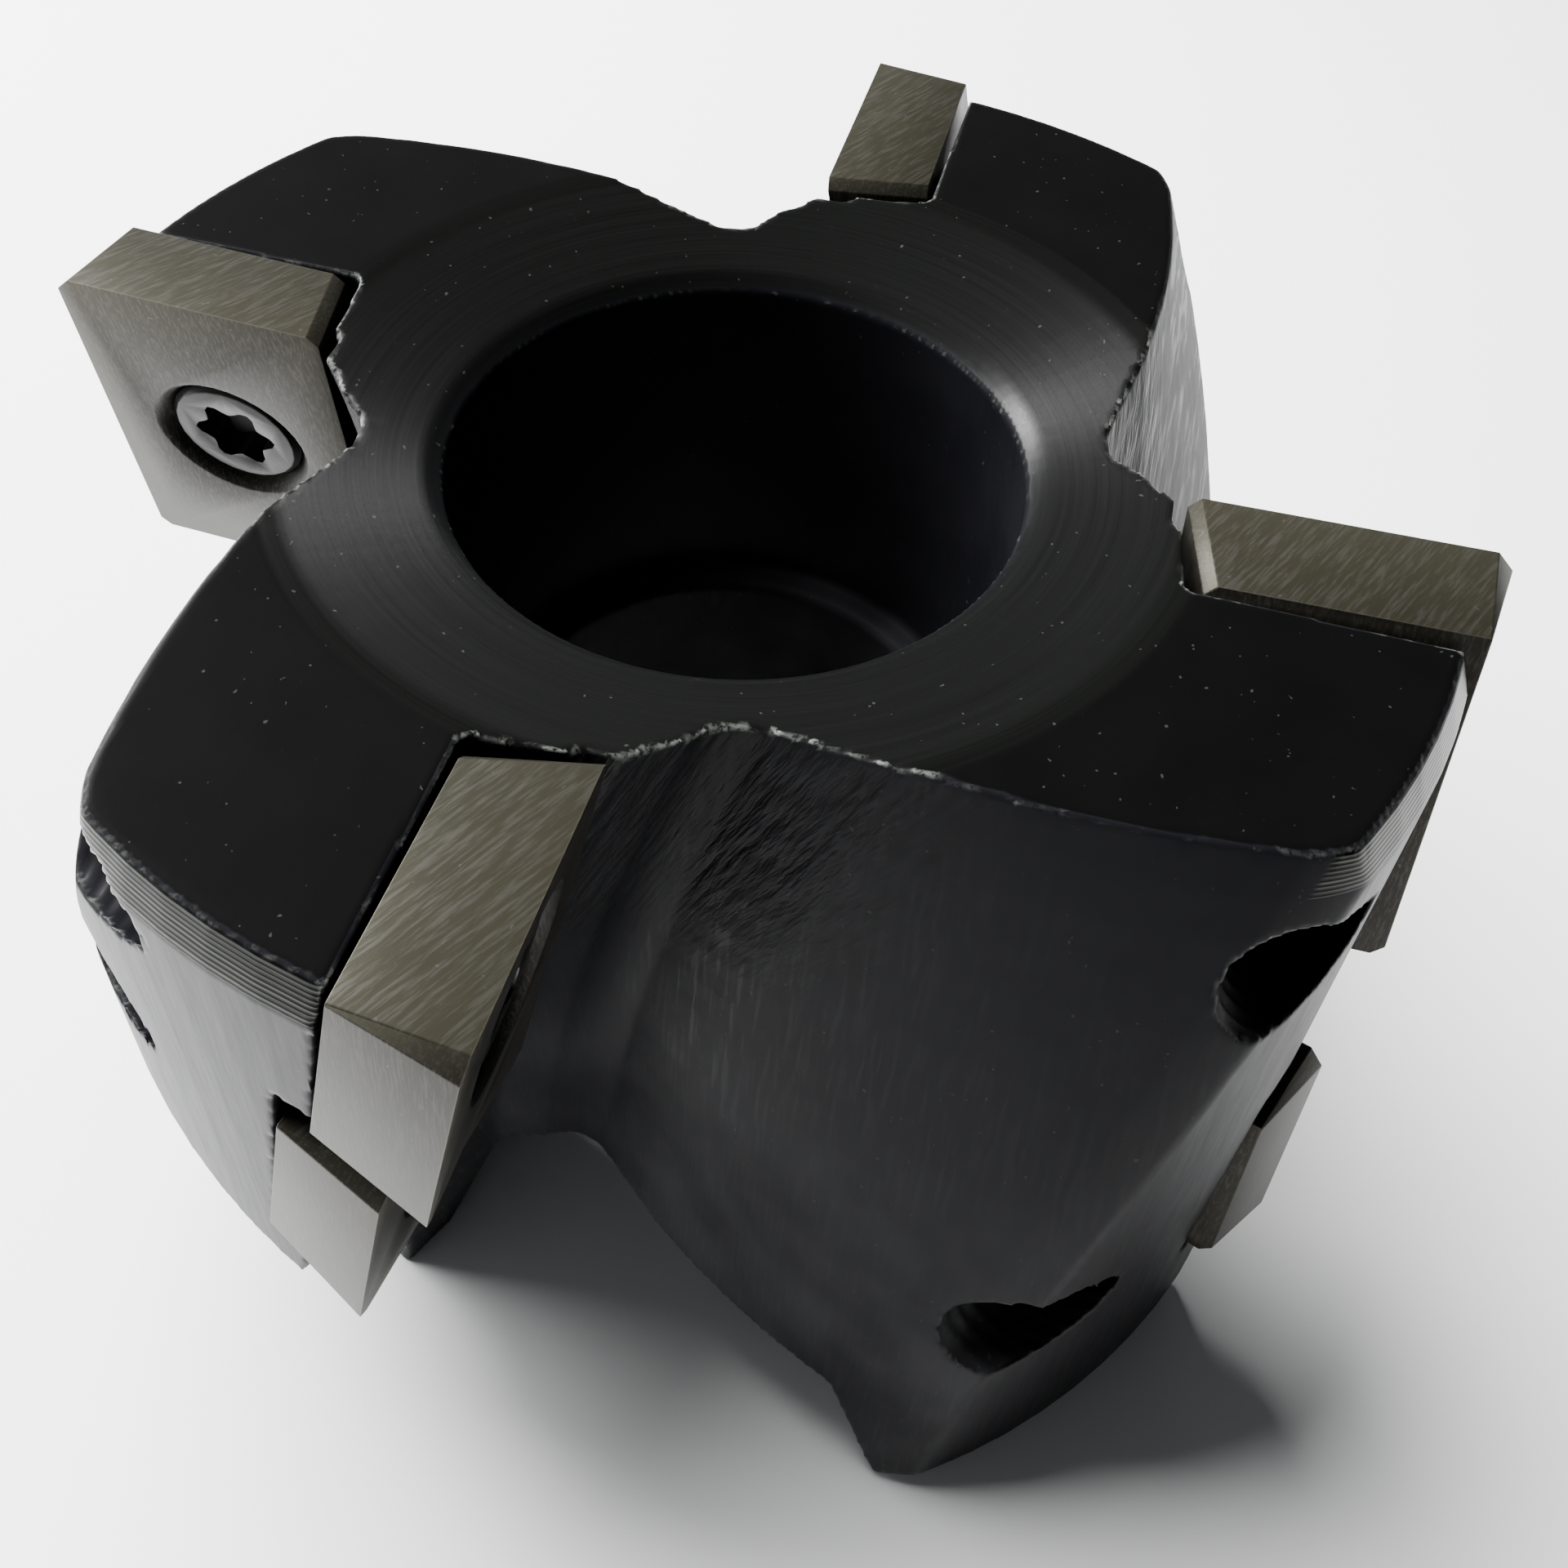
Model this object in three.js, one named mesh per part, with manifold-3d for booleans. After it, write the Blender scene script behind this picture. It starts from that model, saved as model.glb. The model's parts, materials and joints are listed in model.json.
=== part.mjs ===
// Indexable face mill, 63 mm cutting diameter, 40 mm tall, with two staggered rows of inserts on
// four helical lobes. Millimetres, +Z up. The origin is the centre of the arbor face and +Z points
// to the cutting end, so the tool stands on the face that bears on its arbor.
import * as THREE from 'three';
import { mergeVertices } from 'three/addons/utils/BufferGeometryUtils.js';
import Module from 'manifold-3d';

// ---- driving dimensions ----
const cuttingRadius = 31.5;
const ringZ = 39.4; // plane of the lobe tops at the cutting end
const insertRise = 0.6; // how far the cutting corners stand above the lobe tops
const lobes = 4;
const degree = Math.PI / 180;

// outside and bore of the turned blank
const topRadius = 30.6;
const bottomRadius = 30.1;
const topBevel = { wide: 0.7, tall: 1.8 };
const bottomBevel = 1.2;
const dishRadius = 19.9;
const dishInnerRadius = 13.2;
const dishDepth = 1.7;
const counterboreRadius = 12.45;
const shoulderZ = 18.4;
const arborBoreRadius = 11;
const boreChamfer = 0.7;
const slot = { wide: 17, deep: 5.2, angle: 7 * degree, flare: 2.6 };

// flutes between the lobes: each turns about Z on its way down, quickly at first and then slower
const fluteTwist = { atTop: 1.16 * degree, slowing: 0.012 * degree };
const fluteSteps = 22;

// inserts, their pockets and their screws
const axialRake = 11 * degree;
const radialRake = -2 * degree;
const lean = -2 * degree;
const insert = { wide: 12.7, thick: 4.76, clearance: 12.5 * degree, facet: 0.7, corner: 0.5 };
const shortInsert = 11;
const longInsert = 18.7;
const secondRow = {
  short: { drop: 10.9, turn: -7.2 * degree },
  long: { drop: 22, turn: -18 * degree },
};
const seatGap = 0.3; // clearance between pieces that touch
const undercut = { ledge: 5.2, hubRadius: 24 }; // below the second row of the short lobes
const relief = { behindRake: 1.1, inward: 0.5, forward: 9 };
const screwHole = { radius: 2.45, reach: 10.9, backRadius: 2.6, backStart: 8.5, backReach: 14 };
const screw = { headRadius: 3.3, headSink: 0.35, neckDepth: 2.9, shankRadius: 2.1, length: 10.6 };
const countersink = { radius: 3.95, land: 0.35 };
const socket = { tip: 2.05, valley: 1.45, deep: 1.5 };

// ---- colours of the surfaces ----
const blackOxide = new THREE.MeshStandardMaterial({ color: 0x1b1c1e, roughness: 0.42, metalness: 0.85 });
const carbide = new THREE.MeshStandardMaterial({ color: 0x6f6d66, roughness: 0.38, metalness: 0.8 });
const screwSteel = new THREE.MeshStandardMaterial({ color: 0xb4b4b2, roughness: 0.3, metalness: 0.9 });

// ---- booleans ----
const wasm = await Module();
wasm.setup();

function solidOf(geometry) {
  const plain = geometry.clone();
  plain.deleteAttribute('normal');
  plain.deleteAttribute('uv');
  const merged = mergeVertices(plain, 1e-4);
  const vertProperties = Float32Array.from(merged.attributes.position.array);
  const triVerts = Uint32Array.from(merged.index.array);
  return new wasm.Manifold(new wasm.Mesh({ numProp: 3, vertProperties, triVerts }));
}

function geometryOf(solid) {
  const mesh = solid.getMesh();
  const positions = [];
  for (let i = 0; i < mesh.vertProperties.length; i += mesh.numProp) {
    positions.push(...mesh.vertProperties.slice(i, i + 3));
  }
  const geometry = new THREE.BufferGeometry();
  geometry.setAttribute('position', new THREE.Float32BufferAttribute(positions, 3));
  geometry.setIndex(Array.from(mesh.triVerts));
  geometry.computeVertexNormals();
  return geometry;
}

// Turns a profile about Z. Its points run up the outside, so that the faces point outward.
function revolved(points, segments) {
  const profile = points.map(([radius, z]) => new THREE.Vector2(radius, z));
  return new THREE.LatheGeometry(profile, segments).rotateX(Math.PI / 2);
}

function extruded(outline, depth, steps = 1) {
  return new THREE.ExtrudeGeometry(outline, { depth, steps, bevelEnabled: false, curveSegments: 10 });
}

// ---- places ----
const toothAngle = (tooth) => tooth * (2 * Math.PI / lobes);
const isLongTooth = (tooth) => tooth % 2 === 1;

// The frame of one insert: x runs out along the tooth, y leaves the rake face, z runs up the edge.
// Its origin is the outer top cutting corner.
function insertFrame(tooth, row) {
  const second = isLongTooth(tooth) ? secondRow.long : secondRow.short;
  const drop = row === 2 ? second.drop : 0;
  const turn = row === 2 ? second.turn : 0;
  const tilt = new THREE.Matrix4().makeRotationFromEuler(
    new THREE.Euler(-axialRake, lean, radialRake, 'ZXY'));
  return new THREE.Matrix4()
    .makeRotationZ(toothAngle(tooth) + turn)
    .multiply(new THREE.Matrix4().makeTranslation(cuttingRadius, 0, ringZ + insertRise - drop))
    .multiply(tilt);
}

const insertTall = (tooth, row) => (isLongTooth(tooth) && row === 1 ? longInsert : shortInsert);

// ---- inserts ----
// A face of the insert at a depth behind the rake: the flanks close in by the clearance angle, and
// the outer top corner is cut by a facet that fades out towards the back.
function insertFace(tall, depth) {
  const inset = depth * Math.tan(insert.clearance);
  const facet = insert.facet * (1 - 0.9 * depth / insert.thick);
  const corner = insert.corner;
  const left = -insert.wide + inset;
  const right = -inset;
  const top = -inset;
  const bottom = -tall + inset;
  return [
    [left + corner, bottom], [right - corner, bottom], [right, bottom + corner], [right, top - facet],
    [right - facet, top], [left + corner, top], [left, top - corner], [left, bottom + corner],
  ];
}

function outlineOf(points) {
  return new THREE.Shape(points.map(([x, y]) => new THREE.Vector2(x, y)));
}

// An extrusion whose far face follows a second outline with as many points as the first.
function tapered(frontPoints, backPoints, depth) {
  const geometry = extruded(outlineOf(frontPoints), depth);
  const position = geometry.attributes.position;
  for (let i = 0; i < position.count; i += 1) {
    if (position.getZ(i) > depth / 2) {
      const match = frontPoints.findIndex(([x, y]) =>
        Math.hypot(x - position.getX(i), y - position.getY(i)) < 1e-4);
      position.setXY(i, backPoints[match][0], backPoints[match][1]);
    }
  }
  return geometry.rotateX(Math.PI / 2);
}

// Something turned about the screw axis, placed in the insert frame; its z is the height above the rake.
function aboutScrewAxis(points, tall, segments) {
  return revolved(points, segments).rotateX(-Math.PI / 2).translate(-insert.wide / 2, 0, -tall / 2);
}

function makeInsert(tall) {
  const block = tapered(insertFace(tall, 0), insertFace(tall, insert.thick), insert.thick);
  const holeRadius = screw.shankRadius + seatGap;
  const coneStart = -countersink.land;
  const coneEnd = -screw.neckDepth - 0.25;
  const bore = aboutScrewAxis([
    [0, -insert.thick - 1], [holeRadius, -insert.thick - 1], [holeRadius, coneEnd],
    [screw.headRadius + seatGap, coneStart], [countersink.radius, 0], [countersink.radius, 1], [0, 1],
  ], tall, 32);
  return geometryOf(solidOf(block).subtract(solidOf(bore)));
}

// ---- screws ----
// Six-lobed socket outline: the radius swings between the tips and the valleys.
function socketOutline() {
  const middle = (socket.tip + socket.valley) / 2;
  const swing = (socket.tip - socket.valley) / 2;
  const points = [];
  const count = 36;
  for (let i = 0; i < count; i += 1) {
    const angle = i / count * 2 * Math.PI;
    const radius = middle + swing * Math.cos(6 * angle);
    points.push([radius * Math.cos(angle), radius * Math.sin(angle)]);
  }
  return outlineOf(points);
}

function makeScrew(tall) {
  const headTop = -screw.headSink;
  const bodyOfScrew = aboutScrewAxis([
    [0, -screw.length], [screw.shankRadius - 0.6, -screw.length],
    [screw.shankRadius, -screw.length + 0.6], [screw.shankRadius, -screw.neckDepth],
    [screw.headRadius - 0.05, headTop - 0.6], [screw.headRadius, headTop - 0.3],
    [screw.headRadius - 0.3, headTop], [0, headTop],
  ], tall, 24);
  const star = extruded(socketOutline(), socket.deep + 1)
    .rotateX(Math.PI / 2)
    .translate(-insert.wide / 2, headTop + 1, -tall / 2);
  return geometryOf(solidOf(bodyOfScrew).subtract(solidOf(star)));
}

// ---- cutter body ----
function makeBlank() {
  const dishZ = ringZ - dishDepth;
  return solidOf(revolved([
    [arborBoreRadius + boreChamfer, 0], [bottomRadius - bottomBevel, 0], [bottomRadius, bottomBevel],
    [topRadius, ringZ - topBevel.tall], [topRadius - topBevel.wide, ringZ], [dishRadius, ringZ],
    [dishInnerRadius, dishZ], [counterboreRadius, dishZ - 0.7], [counterboreRadius, shoulderZ],
    [arborBoreRadius + 0.3, shoulderZ], [arborBoreRadius, shoulderZ - 0.3],
    [arborBoreRadius, boreChamfer], [arborBoreRadius + boreChamfer, 0],
  ], 96));
}

// The flute ahead of one tooth, as a section in the plane of the lobe tops.
function fluteOutline() {
  const outline = new THREE.Shape();
  outline.moveTo(45, 1);
  outline.lineTo(45, 45);
  outline.lineTo(12.4, 45);
  outline.lineTo(12.9, 28.3); // rounded outer corner of the next lobe
  outline.quadraticCurveTo(15.4, 26.8, 16.3, 24);
  outline.quadraticCurveTo(17.4, 17, 16.3, 10); // back of the next lobe
  outline.lineTo(15.2, 5.4);
  outline.quadraticCurveTo(15.2, 3.6, 16.6, 2.9); // root of the flute
  outline.lineTo(18.2, 1);
  outline.closePath();
  return outline;
}

function makeFlute() {
  const below = 1;
  const above = 2;
  const geometry = extruded(fluteOutline(), ringZ + below + above, fluteSteps).translate(0, 0, -below);
  const position = geometry.attributes.position;
  const point = new THREE.Vector3();
  const axis = new THREE.Vector3(0, 0, 1);
  for (let i = 0; i < position.count; i += 1) {
    point.fromBufferAttribute(position, i);
    const depth = ringZ - point.z;
    point.applyAxisAngle(axis, depth * (fluteTwist.slowing * depth - fluteTwist.atTop));
    position.setXYZ(i, point.x, point.y, point.z);
  }
  return solidOf(geometry);
}

// Seat of one insert, a little larger than the insert, open to the front and the outside. The first
// row is open to the top as well.
function makePocket(tall, row) {
  const topOpen = row === 1 ? 6 : 0.9;
  const outward = 6;
  const back = insert.thick + seatGap;
  const left = -insert.wide - seatGap;
  const bottom = -tall - seatGap;
  const wallDraft = 0.7;
  const front = [[left, bottom], [outward, bottom], [outward, topOpen], [left, topOpen]];
  const rear = [
    [left + wallDraft, bottom + wallDraft], [outward, bottom + wallDraft],
    [outward, topOpen], [left + wallDraft, topOpen],
  ];
  const seat = solidOf(tapered(front, rear, back));
  const opening = new THREE.BoxGeometry(
    insert.wide + relief.inward + outward, relief.forward + relief.behindRake, tall + seatGap + topOpen);
  opening.translate(
    (outward - insert.wide - relief.inward) / 2,
    (relief.forward - relief.behindRake) / 2,
    (topOpen - tall - seatGap) / 2);
  return seat.add(solidOf(opening));
}

// The tapped hole behind an insert follows the screw. Its end breaks out at the outer corner of the
// lobe's back, and is level except behind a long insert, where it keeps on rising with the screw.
function makeScrewHole(tall) {
  const { radius, reach, backRadius, backStart, backReach } = screwHole;
  const tapped = aboutScrewAxis([[0, -reach], [radius, -reach], [radius, 1], [0, 1]], tall, 28);
  const back = [[0, -backReach], [backRadius, -backReach], [backRadius, 0.5], [0, 0.5]];
  const fromBack = revolved(back, 28)
    .rotateX((tall === longInsert ? 0 : axialRake) - Math.PI / 2)
    .translate(-insert.wide / 2, -backStart, -tall / 2);
  return solidOf(tapped).add(solidOf(fromBack));
}

// The short lobes stop a ledge below their second insert. Under it only the hub goes on down.
function makeUndercut(tooth) {
  const tall = insertTall(tooth, 2);
  const ledgeZ = -tall - seatGap - undercut.ledge;
  const frame = insertFrame(tooth, 2).elements;
  const block = new THREE.BoxGeometry(60, 48, 40).translate(0, -14, ledgeZ - 20);
  const hub = new THREE.CylinderGeometry(undercut.hubRadius, undercut.hubRadius, 80, 96)
    .rotateX(Math.PI / 2);
  return solidOf(block).transform(Array.from(frame)).subtract(solidOf(hub));
}

// The drive slot runs across the arbor face and its walls open out towards that face.
function makeDriveSlot() {
  const half = slot.wide / 2;
  const mouth = half + slot.flare;
  const section = new THREE.Shape();
  section.moveTo(-mouth, 0);
  section.lineTo(-mouth - slot.flare, -slot.deep);
  section.lineTo(mouth + slot.flare, -slot.deep);
  section.lineTo(mouth, 0);
  section.lineTo(half, slot.deep);
  section.lineTo(-half, slot.deep);
  section.closePath();
  const bar = extruded(section, 80).translate(0, 0, -40);
  return solidOf(bar.rotateX(Math.PI / 2).rotateZ(slot.angle + Math.PI / 2));
}

function makeBody() {
  const flute = makeFlute();
  let body = makeBlank().subtract(makeDriveSlot());
  for (let tooth = 0; tooth < lobes; tooth += 1) {
    body = body.subtract(flute.rotate([0, 0, toothAngle(tooth) / degree]));
    for (const row of [1, 2]) {
      const tall = insertTall(tooth, row);
      const frame = insertFrame(tooth, row).elements;
      body = body.subtract(makePocket(tall, row).transform(Array.from(frame)));
      body = body.subtract(makeScrewHole(tall).transform(Array.from(frame)));
    }
    if (!isLongTooth(tooth)) {
      body = body.subtract(makeUndercut(tooth));
    }
  }
  return geometryOf(body);
}

// ---- assembly ----
const group = new THREE.Group();
const body = new THREE.Mesh(makeBody(), blackOxide);
body.name = 'cutter_body';
group.add(body);

for (let tooth = 0; tooth < lobes; tooth += 1) {
  for (const row of [1, 2]) {
    const tall = insertTall(tooth, row);
    const seat = new THREE.Group();
    seat.applyMatrix4(insertFrame(tooth, row));
    const insertMesh = new THREE.Mesh(makeInsert(tall), carbide);
    insertMesh.name = `insert_${tooth + 1}_row${row}`;
    const screwMesh = new THREE.Mesh(makeScrew(tall), screwSteel);
    screwMesh.name = `screw_${tooth + 1}_row${row}`;
    seat.add(insertMesh, screwMesh);
    group.add(seat);
  }
}

export default group;
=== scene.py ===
import json
import math

import bmesh
import bpy
import numpy as np
from mathutils import Matrix, Vector


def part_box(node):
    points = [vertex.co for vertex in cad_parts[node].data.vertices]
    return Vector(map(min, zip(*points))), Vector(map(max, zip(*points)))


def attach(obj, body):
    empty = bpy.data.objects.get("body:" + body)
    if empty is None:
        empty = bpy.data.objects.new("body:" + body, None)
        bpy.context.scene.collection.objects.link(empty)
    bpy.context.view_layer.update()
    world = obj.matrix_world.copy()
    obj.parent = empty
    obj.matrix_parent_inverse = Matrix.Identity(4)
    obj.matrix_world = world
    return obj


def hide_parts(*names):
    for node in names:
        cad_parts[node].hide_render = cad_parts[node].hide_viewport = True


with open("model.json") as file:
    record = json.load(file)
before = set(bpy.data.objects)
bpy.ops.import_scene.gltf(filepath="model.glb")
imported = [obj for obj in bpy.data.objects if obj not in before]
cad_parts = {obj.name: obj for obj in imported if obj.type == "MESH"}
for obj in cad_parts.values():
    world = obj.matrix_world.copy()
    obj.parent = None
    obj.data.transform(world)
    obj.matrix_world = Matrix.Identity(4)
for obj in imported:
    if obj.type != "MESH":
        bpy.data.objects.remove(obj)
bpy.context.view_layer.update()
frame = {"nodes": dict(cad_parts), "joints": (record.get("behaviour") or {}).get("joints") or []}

MM = 0.001

# ---- sizes of the cutter, in millimetres, from the frame ----
BODY_NODE = "cutter_body"
RING_Z = (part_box(BODY_NODE)[1] / MM).z  # the plane of the lobe tops
BEVEL_Z = RING_Z - 1.8
TOP_RADIUS = 30.6
FOOT_RADIUS = 30.1
DISH_RADIUS = 19.9
TURNING_PITCH = 0.19  # between the turning lines on the bevel
COUNTERBORE_EDGE = 12.9  # radius inside which the wall is the counterbore's or the bore's

# ---- screw holes behind the inserts, in millimetres ----
HOLE_RADIUS = 2.6
HOLE_SLACK = 0.12  # how far a wall's vertices may lie from that radius
BACK_BORE_START = 8.5  # along the screw's axis, below the top of its head
THREAD_REACH = (-14.5, -1.0)  # the stretch of the bore that has thread grooves
THREAD_PITCH = 0.8
THREAD_DEPTH = 0.13
SCREW_NODES = sorted(name for name in frame["nodes"] if name.startswith("screw_"))
STRAIGHT_BORES = ("screw_2_row1", "screw_4_row1")  # these bores follow the screw; the rest are level
INSERT_NODES = sorted(name for name in frame["nodes"] if name.startswith("insert_"))

# ---- mesh detail ----
VOXEL = 0.21 * MM
BODY_TRIANGLES = 190000
BODY_WEAR = (0.12, 0.35)  # how far an edge bends where wear starts, and where it is complete
BODY_WEAR_AREA = 0.05  # square millimetres
SMALL_WEAR = (0.1, 0.5)
FLAT_ANGLE = 0.6  # degrees; CAD faces that bend less than this are joined before bevelling
SHARP_ANGLE = 35
INSERT_BEVEL = (0.07, 28)  # width in millimetres, least angle in degrees
SCREW_BEVEL = (0.06, 40)
SOCKET = {"below": 0.2, "radius": 2.06}


# ---------------------------------------------------------------- mesh helpers
def joint_axis(child):
    for joint in frame["joints"]:
        if joint["child"] == child:
            return Vector(joint["axis"]).normalized()
    raise ValueError("no joint moves " + child)


def screw_centre(node):
    """The centre of the top of the screw's head, in millimetres."""
    mesh = frame["nodes"][node].data
    coords = np.empty(len(mesh.vertices) * 3, np.float32)
    mesh.vertices.foreach_get("co", coords)
    coords = coords.reshape(-1, 3)
    axis = np.array(joint_axis(node))
    along = coords @ axis
    top = coords[along > along.max() - 0.01 * MM]
    return Vector(top.mean(axis=0)) / MM


def welded_copy(node, name):
    """A new object with the CAD node's shape, its split vertices joined again."""
    mesh = frame["nodes"][node].data.copy()
    mesh.materials.clear()
    piece = bpy.data.objects.new(name, mesh)
    bpy.context.scene.collection.objects.link(piece)
    shape = bmesh.new()
    shape.from_mesh(mesh)
    bmesh.ops.remove_doubles(shape, verts=shape.verts, dist=0.002 * MM)
    shape.to_mesh(mesh)
    shape.free()
    return piece


def bake_modifiers(piece):
    graph = bpy.context.evaluated_depsgraph_get()
    baked = bpy.data.meshes.new_from_object(piece.evaluated_get(graph))
    old = piece.data
    piece.modifiers.clear()
    piece.data = baked
    bpy.data.meshes.remove(old)


def mesh_arrays(mesh):
    coords = np.empty(len(mesh.vertices) * 3)
    mesh.vertices.foreach_get("co", coords)
    normals = np.empty(len(mesh.vertices) * 3)
    mesh.vertices.foreach_get("normal", normals)
    edges = np.empty(len(mesh.edges) * 2, np.int32)
    mesh.edges.foreach_get("vertices", edges)
    return coords.reshape(-1, 3) / MM, normals.reshape(-1, 3), edges.reshape(-1, 2)


def store(mesh, name, values):
    layer = mesh.attributes.new(name, "FLOAT", "POINT")
    layer.data.foreach_set("value", values.astype(np.float32))


def mark_edges(mesh, low, high, widest=None):
    """Stores how convex the surface is at each corner, for worn edges.

    Faces wider than the given area, in square millimetres, fade out, so that only the narrow
    strips along the edges wear and not the flat faces beside them.
    """
    coords, normals, edges = mesh_arrays(mesh)
    first, second = edges[:, 0], edges[:, 1]
    step = coords[second] - coords[first]
    length = np.linalg.norm(step, axis=1) + 1e-9
    bend = np.zeros(len(coords))
    np.add.at(bend, first, -(normals[first] * step).sum(axis=1) / length)
    np.add.at(bend, second, (normals[second] * step).sum(axis=1) / length)
    bend /= np.bincount(edges.ravel(), minlength=len(coords)) + 1e-9
    wear = np.clip((bend - low) / (high - low), 0, 1)
    corners = np.empty(len(mesh.loops), np.int32)
    mesh.loops.foreach_get("vertex_index", corners)
    values = wear[corners]
    if widest is not None:
        sizes = np.empty(len(mesh.polygons), np.int32)
        mesh.polygons.foreach_get("loop_total", sizes)
        areas = np.empty(len(mesh.polygons))
        mesh.polygons.foreach_get("area", areas)
        values = values * np.repeat(np.clip(widest * MM * MM / areas, 0, 1) ** 2, sizes)
    layer = mesh.attributes.new("edge_wear", "FLOAT", "CORNER")
    layer.data.foreach_set("value", values.astype(np.float32))


def smooth_faces(mesh):
    mesh.polygons.foreach_set("use_smooth", [True] * len(mesh.polygons))


def keep_sharp(mesh, degrees):
    shape = bmesh.new()
    shape.from_mesh(mesh)
    limit = math.radians(degrees)
    for edge in shape.edges:
        edge.smooth = len(edge.link_faces) == 2 and edge.calc_face_angle(0) < limit
    shape.to_mesh(mesh)
    shape.free()


# ---------------------------------------------------------------- shader helpers
class Shader:
    """A material whose nodes are added one by one. An input is a number, a colour or a socket."""

    def __init__(self, name):
        self.material = bpy.data.materials.new(name)
        self.material.use_nodes = True
        self.tree = self.material.node_tree
        self.tree.nodes.clear()

    def add(self, kind, inputs=None, **settings):
        node = self.tree.nodes.new("ShaderNode" + kind)
        for key, value in settings.items():
            setattr(node, key, value)
        return self.set_inputs(node, inputs or {})

    def math(self, operation, *values, clamp=False):
        inputs = {i: value for i, value in enumerate(values)}
        return self.add("Math", inputs, operation=operation, use_clamp=clamp).outputs[0]

    def ramp(self, value, low, high, start=0.0, end=1.0):
        inputs = {"Value": value, "From Min": low, "From Max": high, "To Min": start, "To Max": end}
        return self.add("MapRange", inputs, interpolation_type="SMOOTHSTEP", clamp=True).outputs[0]

    def set_inputs(self, node, inputs):
        for key, value in inputs.items():
            if isinstance(value, bpy.types.NodeSocket):
                self.tree.links.new(value, node.inputs[key])
            else:
                node.inputs[key].default_value = value
        return node

    def mix(self, factor, first, second):
        """Mixes two colours."""
        node = self.add("Mix", data_type="RGBA")
        return self.set_inputs(node, {0: factor, 6: first, 7: second}).outputs[2]

    def blend(self, factor, first, second):
        """Mixes two numbers."""
        node = self.add("Mix", data_type="FLOAT")
        return self.set_inputs(node, {0: factor, 2: first, 3: second}).outputs[0]

    def position(self):
        """The place on the object, in millimetres."""
        place = self.add("TexCoord").outputs["Object"]
        scale = self.add("VectorMath", {0: place, 3: 1 / MM}, operation="SCALE")
        return scale.outputs[0]

    def parts(self, vector):
        node = self.add("SeparateXYZ", {0: vector})
        return node.outputs[0], node.outputs[1], node.outputs[2]

    def stretch(self, vector, scale, rotation=None):
        if rotation is not None:
            vector = self.add("Mapping", {"Vector": vector, "Rotation": rotation}).outputs[0]
        return self.add("Mapping", {"Vector": vector, "Scale": scale}).outputs[0]

    def noise(self, vector, scale, detail=3.0, roughness=0.55):
        inputs = {"Vector": vector, "Scale": scale, "Detail": detail, "Roughness": roughness}
        return self.add("TexNoise", inputs).outputs["Fac"]

    def attribute(self, name):
        return self.add("Attribute", attribute_name=name).outputs["Fac"]

    def bump(self, height, distance, strength=1.0, normal=None):
        inputs = {"Height": height, "Distance": distance * MM, "Strength": strength}
        if normal is not None:
            inputs["Normal"] = normal
        return self.add("Bump", inputs).outputs[0]

    def finish(self, **inputs):
        shader = self.add("BsdfPrincipled", inputs)
        self.add("OutputMaterial", {"Surface": shader.outputs[0]})
        return self.material


def grey(level, warmth=0.0):
    return (level * (1 + warmth), level, level * (1 - warmth), 1.0)


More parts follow.
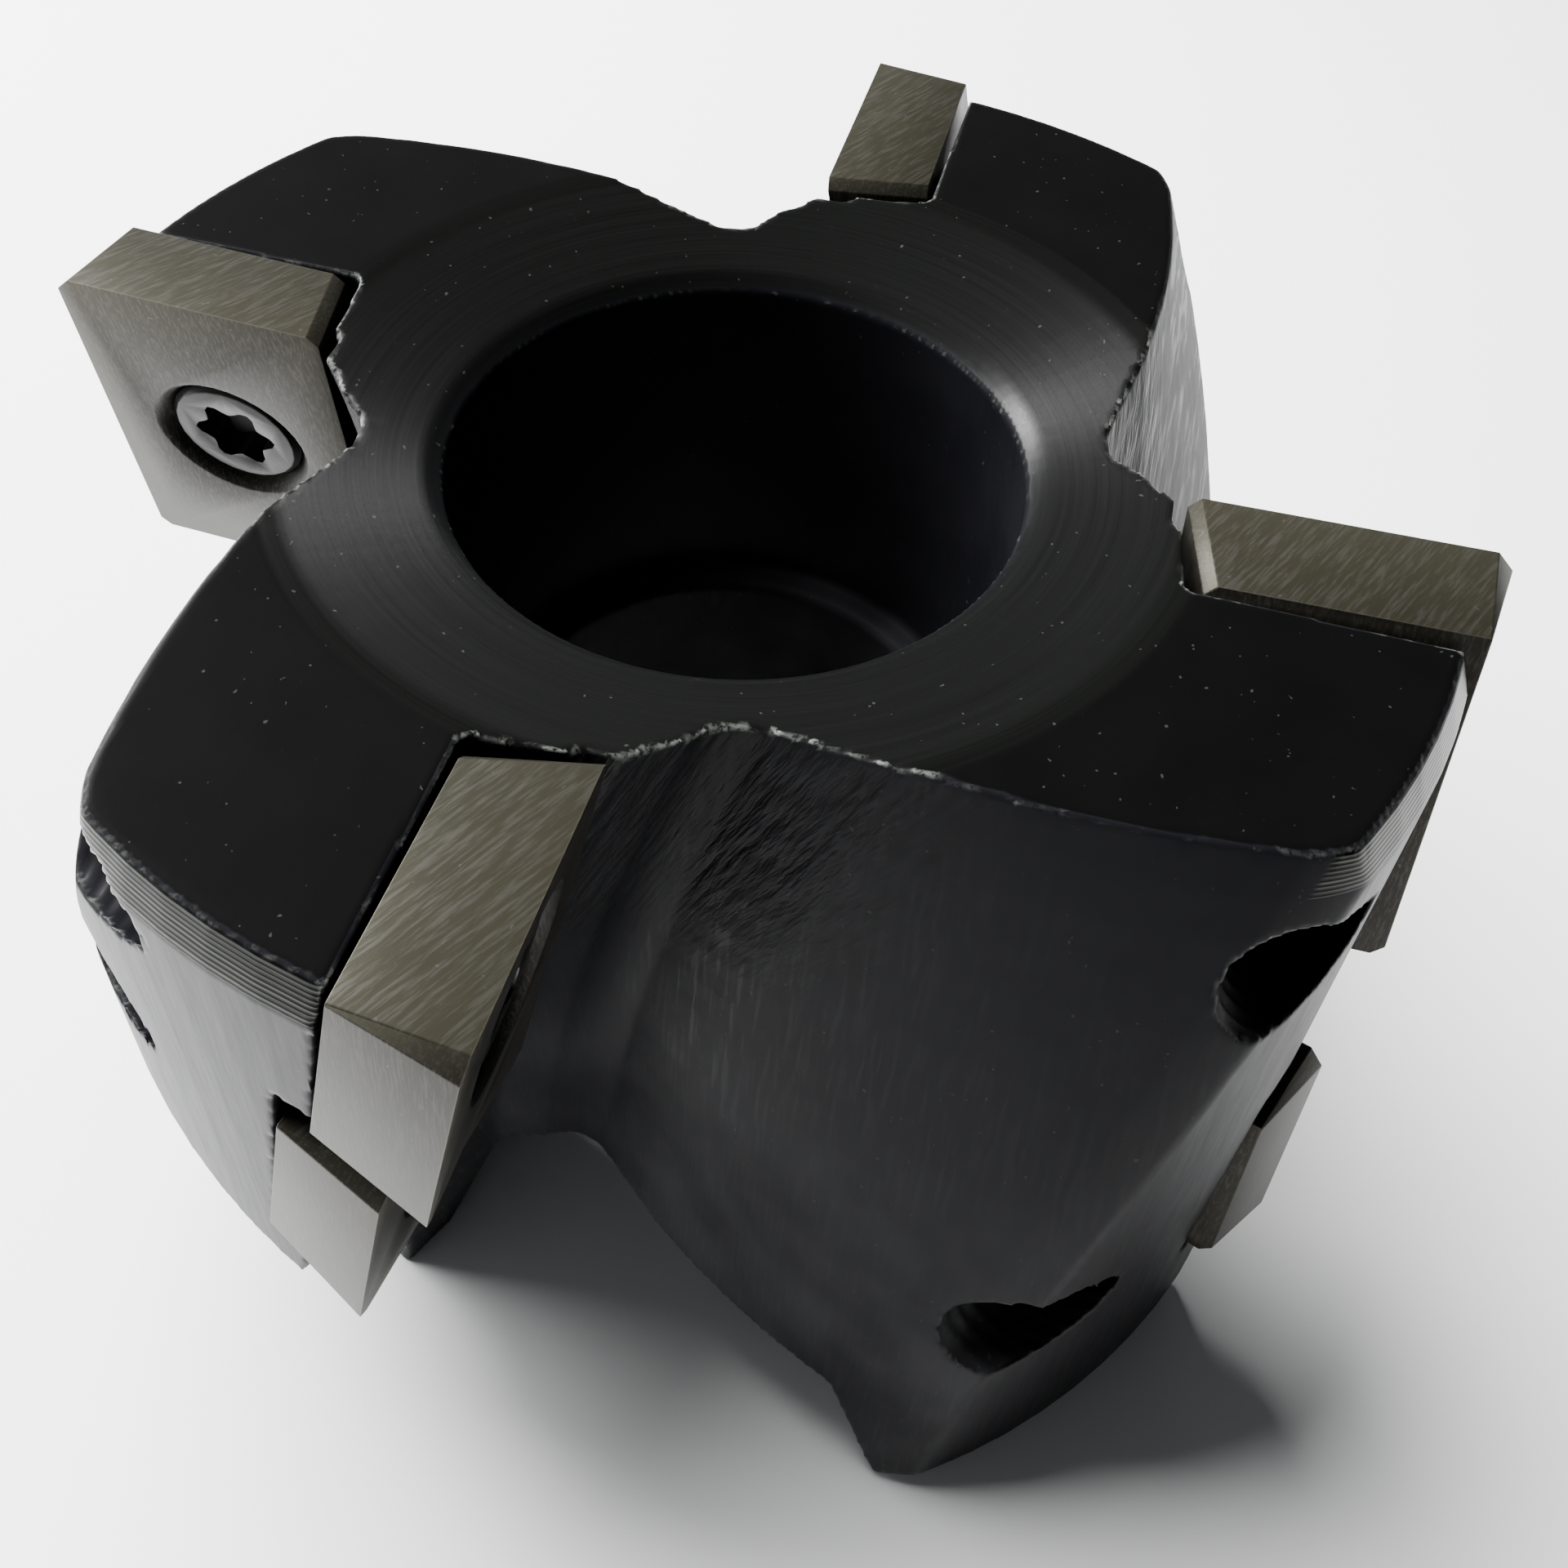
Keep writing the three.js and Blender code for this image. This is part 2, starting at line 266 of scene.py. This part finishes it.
# ---------------------------------------------------------------- materials
def body_material():
    """Black oxide steel. Where the surface lies on the cutter says how it was machined."""
    s = Shader("black_oxide")
    place = s.position()
    x, y, z = s.parts(place)
    radius = s.math("SQRT", s.math("ADD", s.math("MULTIPLY", x, x), s.math("MULTIPLY", y, y)))
    angle = s.math("ARCTAN2", y, x)
    up = s.parts(s.add("NewGeometry").outputs["Normal"])[2]

    # where each surface is
    ring = s.ramp(z, RING_Z - 0.35, RING_Z - 0.15)
    level = s.ramp(up, 0.9, 0.97)
    lobe_top = s.math("MULTIPLY", ring, level)
    dish = s.math("MULTIPLY", s.ramp(up, 0.6, 0.75),
                  s.ramp(radius, DISH_RADIUS + 0.15, DISH_RADIUS - 0.15))
    dish = s.math("MULTIPLY", dish, s.ramp(z, RING_Z - 4, RING_Z - 3.5))
    slope = (TOP_RADIUS - FOOT_RADIUS) / BEVEL_Z
    skin = s.math("MULTIPLY_ADD", z, slope, FOOT_RADIUS)
    below_bevel = s.ramp(z, BEVEL_Z + 0.05, BEVEL_Z - 0.05)
    outside = s.math("MULTIPLY", s.ramp(s.math("SUBTRACT", radius, skin), -0.22, -0.08), below_bevel)
    bevel = s.math("MULTIPLY", s.ramp(radius, TOP_RADIUS - 1.15, TOP_RADIUS - 0.95),
                   s.math("SUBTRACT", 1.0, below_bevel))
    bevel = s.math("MULTIPLY", bevel, s.ramp(up, 0.75, 0.6))

    # patterns
    cloud = s.noise(place, 0.25, detail=4)
    grain = s.noise(place, 9.0, detail=2)
    specks = s.ramp(s.noise(place, 3.1, detail=1), 0.745, 0.78)
    turned_place = s.add("CombineXYZ", {0: s.math("MULTIPLY", radius, 7.0), 1: angle, 2: 0.0})
    turned = s.noise(turned_place.outputs[0], 1.0, detail=3)
    uneven = s.noise(s.add("CombineXYZ", {0: s.math("MULTIPLY", z, 9.0),
                                          1: s.math("MULTIPLY", angle, 3.0), 2: 0.0}).outputs[0], 1.0)
    wander = s.math("MULTIPLY", uneven, 3.0)
    lines = s.math("SINE", s.math("MULTIPLY_ADD", z, 2 * math.pi / TURNING_PITCH, wander))
    scratches = s.noise(s.stretch(place, (0.35, 5.0, 0.35)), 1.0, detail=4)
    across = s.math("SUBTRACT", s.math("MULTIPLY", angle, 42.0), s.math("MULTIPLY", z, 1.15))
    streak_place = s.add("CombineXYZ", {0: s.math("MULTIPLY", radius, 0.3), 1: across,
                                        2: s.math("MULTIPLY", z, 0.45)}).outputs[0]
    streaks = s.noise(streak_place, 1.0, detail=3, roughness=0.6)
    streak_zone = s.math("MULTIPLY", s.ramp(radius, 23.0, 18.5), s.ramp(z, 23.0, 33.0))
    streak_zone = s.math("MULTIPLY", streak_zone, s.ramp(up, 0.4, 0.25))
    streak_zone = s.math("MULTIPLY", streak_zone, s.ramp(radius, 14.0, 15.5))
    inside = s.ramp(radius, COUNTERBORE_EDGE, COUNTERBORE_EDGE - 0.2)

    # colour
    colour = s.mix(cloud, (0.0030, 0.0030, 0.0040, 1), (0.0080, 0.0080, 0.0095, 1))
    # painted light: the colour turns lighter and patchy towards the bottom of the body, standing in
    # for the brighter light on the lower flutes
    lower_painted_light = s.math("MULTIPLY", s.ramp(z, 26.0, 8.0), s.ramp(s.noise(place, 0.12, detail=3), 0.2, 0.8))
    colour = s.mix(lower_painted_light, colour, (0.034, 0.034, 0.036, 1))
    dark_streak = s.math("MULTIPLY", s.ramp(streaks, 0.54, 0.44), streak_zone)
    colour = s.mix(dark_streak, colour, grey(0.004))
    skin_colour = s.mix(cloud, (0.0050, 0.0048, 0.0060, 1), (0.012, 0.0115, 0.0135, 1))
    colour = s.mix(outside, colour, skin_colour)
    pits = s.ramp(s.noise(place, 1.3, detail=3, roughness=0.7), 0.66, 0.72)
    pits = s.math("MULTIPLY", pits, outside)
    colour = s.mix(s.math("MULTIPLY", pits, 0.5), colour, grey(0.003))
    colour = s.mix(lobe_top, colour, s.mix(cloud, grey(0.0012), grey(0.0022)))
    dish_colour = s.mix(turned, (0.0010, 0.0011, 0.0010, 1), (0.0035, 0.0038, 0.0034, 1))
    colour = s.mix(dish, colour, dish_colour)
    colour = s.mix(s.math("MULTIPLY", specks, 0.14), colour, grey(0.11, 0.05))
    fresh = s.math("MULTIPLY", s.ramp(lines, 0.0, 1.0), s.ramp(uneven, 0.25, 0.7))
    bright = s.mix(fresh, (0.006, 0.0062, 0.0058, 1), (0.060, 0.062, 0.055, 1))
    colour = s.mix(bevel, colour, bright)
    worn = s.ramp(s.noise(place, 0.35, detail=2), 0.36, 0.58)
    nicks = s.ramp(s.noise(place, 5.0, detail=4, roughness=0.7), 0.38, 0.54)
    wear = s.math("MULTIPLY", s.attribute("edge_wear"), s.math("MULTIPLY", worn, nicks))
    wear = s.math("MULTIPLY", wear, s.ramp(z, 34.0, 38.0, 0.10, 0.9), clamp=True)
    colour = s.mix(wear, colour, (0.36, 0.38, 0.35, 1))

    # gloss
    rough = s.blend(cloud, 0.40, 0.50)
    rough = s.blend(s.ramp(scratches, 0.5, 0.65), rough, 0.33)
    rough = s.blend(outside, rough, s.blend(scratches, 0.36, 0.50))
    rough = s.blend(lobe_top, rough, s.blend(scratches, 0.34, 0.46))
    rough = s.blend(dish, rough, s.blend(grain, 0.34, 0.52))
    rough = s.blend(bevel, rough, 0.34)
    rough = s.blend(wear, rough, 0.28)
    metal = s.math("MAXIMUM", s.math("MULTIPLY", outside, 0.45), s.math("MAXIMUM", bevel, wear))

    # relief
    normal = s.bump(grain, 0.004, 0.3)
    normal = s.bump(s.math("MULTIPLY", streaks, streak_zone), 0.22, 0.7, normal)
    normal = s.bump(s.math("MULTIPLY", turned, dish), 0.006, 0.5, normal)
    normal = s.bump(s.math("MULTIPLY", lines, bevel), 0.008, 0.5, normal)
    shine = s.blend(dish, s.blend(inside, 0.055, 0.05), s.blend(turned, 0.20, 0.42))
    shine = s.blend(lobe_top, shine, 0.03)
    around = s.add("Tangent", direction_type="RADIAL", axis="Z").outputs[0]
    return s.finish(**{"Base Color": colour, "Roughness": rough, "Metallic": metal, "Normal": normal,
                       "Specular IOR Level": shine, "Tangent": around,
                       "Anisotropic": s.math("MULTIPLY", dish, 0.85),
                       "Anisotropic Rotation": 0.25})


def carbide_material():
    """Ground grey carbide: fine grinding lines, darker pits and bright cutting edges."""
    s = Shader("ground_carbide")
    place = s.position()
    up = s.parts(s.add("NewGeometry").outputs["Normal"])[2]
    top = s.ramp(up, 0.55, 0.85)
    upright = s.noise(s.stretch(place, (9.0, 9.0, 0.5)), 1.0, detail=4, roughness=0.65)
    slanted = s.stretch(place, (0.6, 7.0, 7.0), (0.0, 0.0, 0.5))
    slanted = s.noise(slanted, 1.0, detail=4, roughness=0.65)
    fine = s.blend(top, upright, slanted)
    cloud = s.noise(place, 0.5, detail=3)
    pits = s.ramp(s.noise(place, 2.6, detail=2), 0.30, 0.24)
    flank = s.mix(cloud, (0.0075, 0.0070, 0.0055, 1), (0.0125, 0.0118, 0.0098, 1))
    crown = s.mix(cloud, (0.0115, 0.0108, 0.0065, 1), (0.018, 0.017, 0.0110, 1))
    colour = s.mix(top, flank, crown)
    colour = s.mix(s.math("MULTIPLY", s.ramp(fine, 0.45, 0.65), 0.60), colour, grey(0.040, 0.07))
    colour = s.mix(s.math("MULTIPLY", pits, 0.6), colour, grey(0.05))
    edge = s.math("MULTIPLY", s.attribute("edge_wear"), 0.6)
    colour = s.mix(edge, colour, (0.26, 0.245, 0.18, 1))
    rough = s.blend(fine, 0.34, 0.50)
    normal = s.bump(fine, 0.012, 0.7)
    return s.finish(**{"Base Color": colour, "Roughness": rough, "Metallic": 0.6, "Normal": normal,
                       "Specular IOR Level": 0.15})


def screw_material():
    """Bright satin screw steel with a darker, rougher and less metallic socket."""
    s = Shader("screw_steel")
    place = s.position()
    grain = s.noise(place, 6.0, detail=3)
    socket = s.attribute("socket")
    colour = s.mix(grain, grey(0.006), grey(0.012))
    colour = s.mix(socket, colour, grey(0.006))
    colour = s.mix(s.math("MULTIPLY", s.attribute("edge_wear"), 0.6), colour, grey(0.28))
    rough = s.blend(grain, 0.26, 0.38)
    rough = s.blend(socket, rough, 0.6)
    metal = s.math("SUBTRACT", 0.9, s.math("MULTIPLY", socket, 0.8))
    normal = s.bump(grain, 0.01, 0.5)
    return s.finish(**{"Base Color": colour, "Roughness": rough, "Metallic": metal, "Normal": normal})


def floor_material():
    s = Shader("pale_floor")
    place = s.position()
    mottle = s.noise(place, 0.02, detail=3)
    colour = s.mix(mottle, (0.88, 0.885, 0.88, 1), (0.91, 0.915, 0.91, 1))
    normal = s.bump(s.noise(place, 1.5, detail=2), 0.02, 0.1)
    return s.finish(**{"Base Color": colour, "Roughness": 0.6, "Normal": normal})


# ---------------------------------------------------------------- cutter body
def cut_threads(mesh):
    """Pushes thread grooves into the walls of the screw holes, where they come out of the lobes."""
    coords, normals, _ = mesh_arrays(mesh)
    for node in SCREW_NODES:
        out = np.array(joint_axis(node))
        head = np.array(screw_centre(node))
        rises = 1.0 if node in STRAIGHT_BORES else 0.0
        level = np.array([out[0], out[1], out[2] * rises])
        level /= np.linalg.norm(level)
        start = head - out * BACK_BORE_START
        offset = coords - start
        along = offset @ level
        across = offset - np.outer(along, level)
        distance = np.linalg.norm(across, axis=1)
        wall = np.abs(distance - HOLE_RADIUS) < HOLE_SLACK
        wall &= (along > THREAD_REACH[0]) & (along < THREAD_REACH[1])
        wall &= (normals * across).sum(axis=1) < -0.9 * distance
        side = np.array([-level[1], level[0], 0.0])
        side /= np.linalg.norm(side)
        turn = np.arctan2(across @ np.cross(level, side), across @ side) / (2 * math.pi)
        phase = (along / THREAD_PITCH + turn) % 1.0
        groove = THREAD_DEPTH * (1 - np.abs(2 * phase - 1))
        push = np.where(wall, groove, 0.0) / np.maximum(distance, 0.1)
        coords += across * push[:, None]
    mesh.vertices.foreach_set("co", (coords * MM).ravel())
    mesh.update()


def make_body(material):
    piece = welded_copy(BODY_NODE, "mill_body")
    remesh = piece.modifiers.new("even", "REMESH")
    remesh.mode = "VOXEL"
    remesh.voxel_size = VOXEL
    soften = piece.modifiers.new("soften", "SMOOTH")
    soften.factor = 0.5
    soften.iterations = 2
    bake_modifiers(piece)
    cut_threads(piece.data)
    triangles = sum(len(face.vertices) - 2 for face in piece.data.polygons)
    thin = piece.modifiers.new("thin", "DECIMATE")
    thin.ratio = min(1.0, BODY_TRIANGLES / triangles)
    bake_modifiers(piece)
    smooth_faces(piece.data)
    mark_edges(piece.data, *BODY_WEAR, widest=BODY_WEAR_AREA)
    flat = piece.modifiers.new("flat", "WEIGHTED_NORMAL")
    flat.mode = "FACE_AREA"
    flat.weight = 50
    bake_modifiers(piece)
    piece.data.materials.append(material)
    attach(piece, "cutter")
    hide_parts(BODY_NODE)
    return piece


# ---------------------------------------------------------------- inserts and screws
def bevelled_piece(node, name, width, angle):
    piece = welded_copy(node, name)
    shape = bmesh.new()
    shape.from_mesh(piece.data)
    bmesh.ops.dissolve_limit(shape, angle_limit=math.radians(FLAT_ANGLE),
                               verts=shape.verts, edges=shape.edges)
    shape.to_mesh(piece.data)
    shape.free()
    bevel = piece.modifiers.new("edges", "BEVEL")
    bevel.width = width * MM
    bevel.segments = 2
    bevel.limit_method = "ANGLE"
    bevel.angle_limit = math.radians(angle)
    bake_modifiers(piece)
    smooth_faces(piece.data)
    keep_sharp(piece.data, SHARP_ANGLE)
    return piece


def make_insert(node, material):
    piece = bevelled_piece(node, "carbide_" + node, *INSERT_BEVEL)
    mark_edges(piece.data, *SMALL_WEAR)
    piece.data.materials.append(material)
    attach(piece, node)
    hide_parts(node)


def make_screw(node, material):
    piece = bevelled_piece(node, "six_lobe_" + node, *SCREW_BEVEL)
    mark_edges(piece.data, *SMALL_WEAR)
    coords, _, _ = mesh_arrays(piece.data)
    axis = np.array(joint_axis(node))
    head = np.array(screw_centre(node))
    offset = coords - head
    depth = -(offset @ axis)
    distance = np.linalg.norm(offset + np.outer(depth, axis), axis=1)
    inside = (depth > SOCKET["below"]) & (distance < SOCKET["radius"])
    store(piece.data, "socket", inside.astype(float))
    piece.data.materials.append(material)
    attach(piece, node)
    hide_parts(node)


# ---------------------------------------------------------------- surroundings
CAMERA_PLACE = Vector((54.18, 12.68, 85.71)) * MM
CAMERA_AIM = Vector((-0.30, 1.48, 33.01)) * MM
CAMERA_ROLL = math.radians(3.26)
CAMERA_LENS = 39.5
CAMERA_SHIFT = (0.0105, -0.1615)


def make_camera():
    data = bpy.data.cameras.new("camera")
    data.lens = CAMERA_LENS
    data.sensor_width = 36
    data.shift_x, data.shift_y = CAMERA_SHIFT
    data.clip_start = 0.005
    camera = bpy.data.objects.new("camera", data)
    bpy.context.scene.collection.objects.link(camera)
    turn = (CAMERA_AIM - CAMERA_PLACE).to_track_quat("-Z", "Y").to_matrix()
    turn = turn @ Matrix.Rotation(CAMERA_ROLL, 3, "Z")
    camera.matrix_world = Matrix.Translation(CAMERA_PLACE) @ turn.to_4x4()
    bpy.context.scene.camera = camera


def make_floor(material):
    shape = bmesh.new()
    bmesh.ops.create_grid(shape, x_segments=4, y_segments=4, size=1.5)
    mesh = bpy.data.meshes.new("floor")
    shape.to_mesh(mesh)
    shape.free()
    floor = bpy.data.objects.new("floor", mesh)
    bpy.context.scene.collection.objects.link(floor)
    mesh.materials.append(material)


def area_light(name, direction, distance, size, power):
    data = bpy.data.lights.new(name, "AREA")
    data.shape = "DISK"
    data.size = size
    data.energy = power
    light = bpy.data.objects.new(name, data)
    bpy.context.scene.collection.objects.link(light)
    place = Vector(direction).normalized() * distance
    turn = (-place).to_track_quat("-Z", "Y").to_matrix()
    light.matrix_world = Matrix.Translation(place) @ turn.to_4x4()
    return light


def make_light():
    """A pale horizon that darkens overhead and towards +Y.

    Two lamps light without being reflected, and a small pane is only reflected.
    """
    world = bpy.data.worlds.new("studio")
    world.use_nodes = True
    bpy.context.scene.world = world
    nodes, links = world.node_tree.nodes, world.node_tree.links
    nodes.clear()
    place = nodes.new("ShaderNodeTexCoord")
    split = nodes.new("ShaderNodeSeparateXYZ")
    links.new(place.outputs["Generated"], split.inputs[0])
    strengths = []
    for axis, limits in ((2, (0.15, 0.75, 0.75, 0.02)), (1, (-0.9, 0.5, 1.3, 0.18))):
        fade = nodes.new("ShaderNodeMapRange")
        for key, value in zip(("From Min", "From Max", "To Min", "To Max"), limits):
            fade.inputs[key].default_value = value
        links.new(split.outputs[axis], fade.inputs["Value"])
        strengths.append(fade.outputs[0])
    both = nodes.new("ShaderNodeMath")
    both.operation = "MULTIPLY"
    links.new(strengths[0], both.inputs[0])
    links.new(strengths[1], both.inputs[1])
    sky = nodes.new("ShaderNodeBackground")
    sky.inputs["Color"].default_value = (0.93, 0.96, 1.0, 1)
    links.new(both.outputs[0], sky.inputs["Strength"])
    out = nodes.new("ShaderNodeOutputWorld")
    links.new(sky.outputs[0], out.inputs[0])
    for name, direction, distance, size, power in (
            ("window", (-0.55, -1.0, 0.8), 0.45, 0.60, 7.5),
            ("overhead", (-0.30, -0.50, 1.0), 0.32, 0.30, 5.6)):
        area_light(name, direction, distance, size, power).visible_glossy = False
    area_light("pane", (-0.35, -0.8, 0.42), 0.6, 0.16, 7.0).visible_diffuse = False


def main():
    make_camera()
    make_floor(floor_material())
    make_light()
    make_body(body_material())
    carbide = carbide_material()
    for node in INSERT_NODES:
        make_insert(node, carbide)
    steel = screw_material()
    for node in SCREW_NODES:
        make_screw(node, steel)


main()
